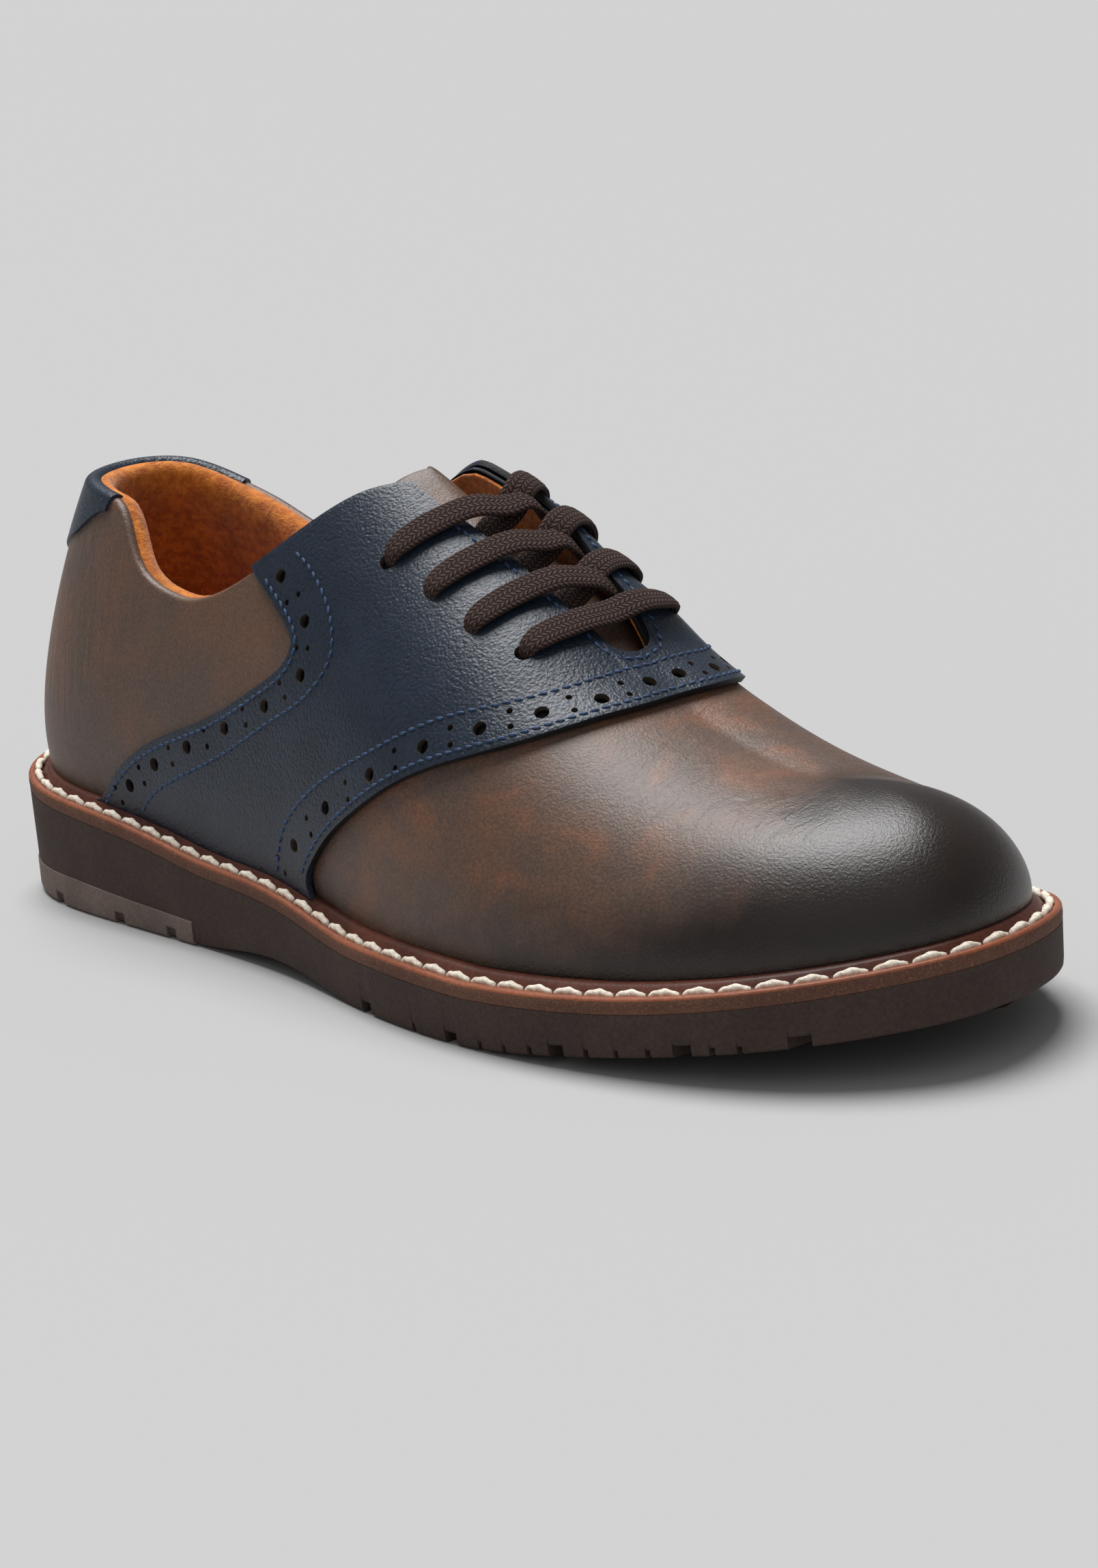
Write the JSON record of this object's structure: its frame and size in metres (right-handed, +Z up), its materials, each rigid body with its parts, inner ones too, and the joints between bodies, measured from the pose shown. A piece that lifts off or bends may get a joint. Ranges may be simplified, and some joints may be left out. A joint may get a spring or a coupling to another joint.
{
  "type": "saddle shoe",
  "caption": "Right laced saddle shoe: brown leather upper, navy saddle and heel collar, welted wedge sole with a heel inlay.",
  "frame": {"origin": "middle of the shoe's box, on the floor that the heel and the forefoot stand on", "axes": "+X towards the toe, +Y towards the big toe side, +Z up"},
  "size_m": [0.305, 0.1098, 0.1081],
  "materials": {
    "brown_leather": "smooth burnished leather, darker at the toe",
    "navy_leather": "fine pebbled grain, half gloss",
    "lining_suede": "napped suede",
    "sole_foam": "matte foamed rubber with a fine grain",
    "heel_rubber": "matte rubber",
    "welt": "smooth welt strip with a stitching groove",
    "lace": "flat braid"
  },
  "bodies": {
    "root": {"outsole": "sole_foam", "heel_inlay": "heel_rubber", "welt": "welt", "insole": "lining_suede", "upper": "brown_leather", "saddle": "navy_leather", "heel_collar": "navy_leather", "tongue": "brown_leather", "lace_row_1": "lace", "lace_row_2": "lace", "lace_row_3": "lace", "lace_bar": "lace"}
  },
  "joints": []
}
